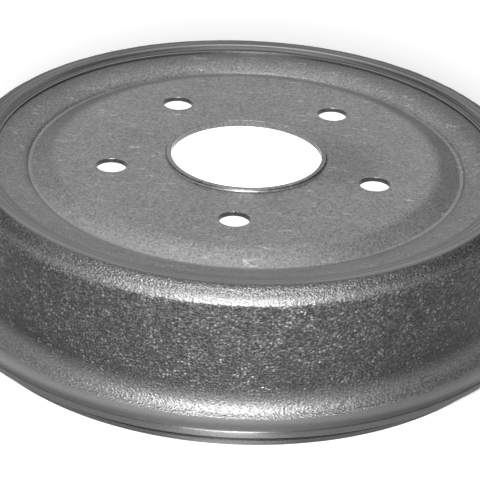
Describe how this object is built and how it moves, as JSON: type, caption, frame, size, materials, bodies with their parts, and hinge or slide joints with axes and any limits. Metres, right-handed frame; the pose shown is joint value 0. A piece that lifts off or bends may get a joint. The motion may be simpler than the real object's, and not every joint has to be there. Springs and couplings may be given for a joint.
{
  "type": "brake drum",
  "caption": "Round brake drum, open at one end: rough cast-iron ring with a flange and a turned bore inside, around a dished pressed-steel web with a centre bore and stud holes.",
  "frame": {"origin": "on the drum's axis, in the plane of its open end", "axes": "+Z along the axis from the open end to the wheel face, -Y through one stud hole"},
  "size_m": [0.258, 0.258, 0.0683],
  "materials": {
    "web_steel": "smooth pressed sheet with scratches",
    "ring_iron": "sandy cast skin, turned on the braking surface and flange"
  },
  "bodies": {
    "root": {"steel_web": "web_steel", "iron_ring": "ring_iron"}
  },
  "joints": []
}
